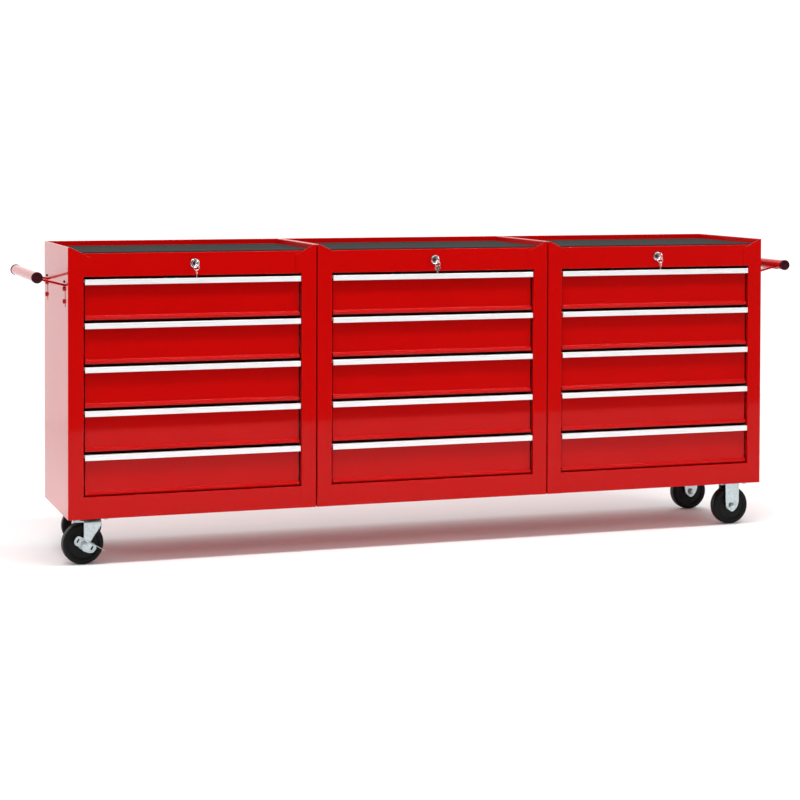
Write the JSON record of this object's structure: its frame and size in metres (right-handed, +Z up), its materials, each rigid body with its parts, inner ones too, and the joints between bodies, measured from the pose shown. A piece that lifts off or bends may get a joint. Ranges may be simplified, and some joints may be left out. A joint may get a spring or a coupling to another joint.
{
  "type": "rolling tool chest",
  "caption": "Low, wide rolling tool chest: three red sheet-steel drawer cabinets side by side on castors, with a matted top, key locks and a push bar at each end.",
  "frame": {"origin": "on the floor under the middle of the whole object's box", "axes": "+X along the chest's length, to the right as seen from the front, +Y from the front to the back, +Z up"},
  "size_m": [2.016, 0.38, 0.763],
  "materials": {
    "red_paint": "gloss red powder coat",
    "bar_paint": "gloss red powder coat on tube",
    "bright_aluminium": "bright anodised extrusion",
    "cap_plastic": "dark moulded plastic",
    "mat_rubber": "matt dark grey ribbed rubber",
    "zinc_steel": "bright zinc plate",
    "lock_chrome": "nickel plated",
    "wheel_rubber": "matt black solid rubber"
  },
  "bodies": {
    "chest": {"bottom_pans": "red_paint", "cabinet_shell_left": "red_paint", "cabinet_shell_middle": "red_paint", "cabinet_shell_right": "red_paint", "castor_frames": "zinc_steel", "fasteners": "zinc_steel", "lock_housings": "lock_chrome", "push_bar_arms": "red_paint", "push_bar_caps": "cap_plastic", "push_bars": "bar_paint", "runner_frames": "zinc_steel", "top_mats": "mat_rubber", "top_trays": "red_paint"},
    "drawer_left_1": {"drawer_left_1": "red_paint", "drawer_pull_left_1": "bright_aluminium"},
    "drawer_left_2": {"drawer_left_2": "red_paint", "drawer_pull_left_2": "bright_aluminium"},
    "drawer_left_3": {"drawer_left_3": "red_paint", "drawer_pull_left_3": "bright_aluminium"},
    "drawer_left_4": {"drawer_left_4": "red_paint", "drawer_pull_left_4": "bright_aluminium"},
    "drawer_left_5": {"drawer_left_5": "red_paint", "drawer_pull_left_5": "bright_aluminium"},
    "lock_left": {"lock_plug_left": "lock_chrome"},
    "ring_left": {"key_ring_left": "lock_chrome"},
    "bar_left": {"lock_bar_left": "zinc_steel"},
    "drawer_middle_1": {"drawer_middle_1": "red_paint", "drawer_pull_middle_1": "bright_aluminium"},
    "drawer_middle_2": {"drawer_middle_2": "red_paint", "drawer_pull_middle_2": "bright_aluminium"},
    "drawer_middle_3": {"drawer_middle_3": "red_paint", "drawer_pull_middle_3": "bright_aluminium"},
    "drawer_middle_4": {"drawer_middle_4": "red_paint", "drawer_pull_middle_4": "bright_aluminium"},
    "drawer_middle_5": {"drawer_middle_5": "red_paint", "drawer_pull_middle_5": "bright_aluminium"},
    "lock_middle": {"lock_plug_middle": "lock_chrome"},
    "ring_middle": {"key_ring_middle": "lock_chrome"},
    "bar_middle": {"lock_bar_middle": "zinc_steel"},
    "drawer_right_1": {"drawer_right_1": "red_paint", "drawer_pull_right_1": "bright_aluminium"},
    "drawer_right_2": {"drawer_right_2": "red_paint", "drawer_pull_right_2": "bright_aluminium"},
    "drawer_right_3": {"drawer_right_3": "red_paint", "drawer_pull_right_3": "bright_aluminium"},
    "drawer_right_4": {"drawer_right_4": "red_paint", "drawer_pull_right_4": "bright_aluminium"},
    "drawer_right_5": {"drawer_right_5": "red_paint", "drawer_pull_right_5": "bright_aluminium"},
    "lock_right": {"lock_plug_right": "lock_chrome"},
    "ring_right": {"key_ring_right": "lock_chrome"},
    "bar_right": {"lock_bar_right": "zinc_steel"},
    "swivel_front": {"swivel_fork_front": "zinc_steel"},
    "brake_front": {"brake_lever_front": "zinc_steel"},
    "wheel_left_front": {"wheel_left_front": "wheel_rubber"},
    "wheel_right_front": {"wheel_right_front": "wheel_rubber"},
    "swivel_rear": {"swivel_fork_rear": "zinc_steel"},
    "brake_rear": {"brake_lever_rear": "zinc_steel"},
    "wheel_left_rear": {"wheel_left_rear": "wheel_rubber"},
    "wheel_right_rear": {"wheel_right_rear": "wheel_rubber"}
  },
  "joints": [
    {"name": "drawer_left_1_slide", "type": "slide", "parent": "chest", "child": "drawer_left_1", "axis": [0, -1, 0], "range_m": [0, 0.27]},
    {"name": "drawer_left_2_slide", "type": "slide", "parent": "chest", "child": "drawer_left_2", "axis": [0, -1, 0], "range_m": [0, 0.27]},
    {"name": "drawer_left_3_slide", "type": "slide", "parent": "chest", "child": "drawer_left_3", "axis": [0, -1, 0], "range_m": [0, 0.27]},
    {"name": "drawer_left_4_slide", "type": "slide", "parent": "chest", "child": "drawer_left_4", "axis": [0, -1, 0], "range_m": [0, 0.27]},
    {"name": "drawer_left_5_slide", "type": "slide", "parent": "chest", "child": "drawer_left_5", "axis": [0, -1, 0], "range_m": [0, 0.27]},
    {"name": "lock_left_turn", "type": "hinge", "parent": "chest", "child": "lock_left", "pos_m": [-0.615, -0.16, 0.7215], "axis": [0, -1, 0], "range_deg": [0, 90]},
    {"name": "ring_left_hang", "type": "hinge", "parent": "lock_left", "child": "ring_left", "pos_m": [-0.615, -0.18, 0.714], "axis": [0, -1, 0], "range_deg": [-90, 0]},
    {"name": "bar_left_lift", "type": "slide", "parent": "chest", "child": "bar_left", "axis": [0, 0, 1], "range_m": [0, 0.01]},
    {"name": "drawer_middle_1_slide", "type": "slide", "parent": "chest", "child": "drawer_middle_1", "axis": [0, -1, 0], "range_m": [0, 0.27]},
    {"name": "drawer_middle_2_slide", "type": "slide", "parent": "chest", "child": "drawer_middle_2", "axis": [0, -1, 0], "range_m": [0, 0.27]},
    {"name": "drawer_middle_3_slide", "type": "slide", "parent": "chest", "child": "drawer_middle_3", "axis": [0, -1, 0], "range_m": [0, 0.27]},
    {"name": "drawer_middle_4_slide", "type": "slide", "parent": "chest", "child": "drawer_middle_4", "axis": [0, -1, 0], "range_m": [0, 0.27]},
    {"name": "drawer_middle_5_slide", "type": "slide", "parent": "chest", "child": "drawer_middle_5", "axis": [0, -1, 0], "range_m": [0, 0.27]},
    {"name": "lock_middle_turn", "type": "hinge", "parent": "chest", "child": "lock_middle", "pos_m": [0, -0.16, 0.7215], "axis": [0, -1, 0], "range_deg": [0, 90]},
    {"name": "ring_middle_hang", "type": "hinge", "parent": "lock_middle", "child": "ring_middle", "pos_m": [0, -0.18, 0.714], "axis": [0, -1, 0], "range_deg": [-90, 0]},
    {"name": "bar_middle_lift", "type": "slide", "parent": "chest", "child": "bar_middle", "axis": [0, 0, 1], "range_m": [0, 0.01]},
    {"name": "drawer_right_1_slide", "type": "slide", "parent": "chest", "child": "drawer_right_1", "axis": [0, -1, 0], "range_m": [0, 0.27]},
    {"name": "drawer_right_2_slide", "type": "slide", "parent": "chest", "child": "drawer_right_2", "axis": [0, -1, 0], "range_m": [0, 0.27]},
    {"name": "drawer_right_3_slide", "type": "slide", "parent": "chest", "child": "drawer_right_3", "axis": [0, -1, 0], "range_m": [0, 0.27]},
    {"name": "drawer_right_4_slide", "type": "slide", "parent": "chest", "child": "drawer_right_4", "axis": [0, -1, 0], "range_m": [0, 0.27]},
    {"name": "drawer_right_5_slide", "type": "slide", "parent": "chest", "child": "drawer_right_5", "axis": [0, -1, 0], "range_m": [0, 0.27]},
    {"name": "lock_right_turn", "type": "hinge", "parent": "chest", "child": "lock_right", "pos_m": [0.615, -0.16, 0.7215], "axis": [0, -1, 0], "range_deg": [0, 90]},
    {"name": "ring_right_hang", "type": "hinge", "parent": "lock_right", "child": "ring_right", "pos_m": [0.615, -0.18, 0.714], "axis": [0, -1, 0], "range_deg": [-90, 0]},
    {"name": "bar_right_lift", "type": "slide", "parent": "chest", "child": "bar_right", "axis": [0, 0, 1], "range_m": [0, 0.01]},
    {"name": "swivel_front_turn", "type": "hinge", "parent": "chest", "child": "swivel_front", "pos_m": [-0.858, -0.105, 0.105], "axis": [0, 0, 1], "continuous": true},
    {"name": "brake_front_press", "type": "hinge", "parent": "swivel_front", "child": "brake_front", "pos_m": [-0.87795, -0.1064, 0.05], "axis": [-0.0698, 0.9976, 0], "range_deg": [-22, 0]},
    {"name": "wheel_left_front_spin", "type": "hinge", "parent": "swivel_front", "child": "wheel_left_front", "pos_m": [-0.87795, -0.1064, 0.05], "axis": [-0.0698, 0.9976, 0], "continuous": true},
    {"name": "wheel_right_front_spin", "type": "hinge", "parent": "chest", "child": "wheel_right_front", "pos_m": [0.858, -0.105, 0.05], "axis": [0, 1, 0], "continuous": true},
    {"name": "swivel_rear_turn", "type": "hinge", "parent": "chest", "child": "swivel_rear", "pos_m": [-0.858, 0.135, 0.105], "axis": [0, 0, 1], "continuous": true},
    {"name": "brake_rear_press", "type": "hinge", "parent": "swivel_rear", "child": "brake_rear", "pos_m": [-0.83801, 0.1343, 0.05], "axis": [-0.0349, -0.9994, 0], "range_deg": [-22, 0]},
    {"name": "wheel_left_rear_spin", "type": "hinge", "parent": "swivel_rear", "child": "wheel_left_rear", "pos_m": [-0.83801, 0.1343, 0.05], "axis": [-0.0349, -0.9994, 0], "continuous": true},
    {"name": "wheel_right_rear_spin", "type": "hinge", "parent": "chest", "child": "wheel_right_rear", "pos_m": [0.858, 0.135, 0.05], "axis": [0, 1, 0], "continuous": true}
  ],
  "couplings": [
    {"joint": "lock_left_turn", "follows": "bar_left_lift", "rad_per_m": 157.08},
    {"joint": "ring_left_hang", "follows": "bar_left_lift", "rad_per_m": -157.08},
    {"joint": "lock_middle_turn", "follows": "bar_middle_lift", "rad_per_m": 157.08},
    {"joint": "ring_middle_hang", "follows": "bar_middle_lift", "rad_per_m": -157.08},
    {"joint": "lock_right_turn", "follows": "bar_right_lift", "rad_per_m": 157.08},
    {"joint": "ring_right_hang", "follows": "bar_right_lift", "rad_per_m": -157.08}
  ]
}
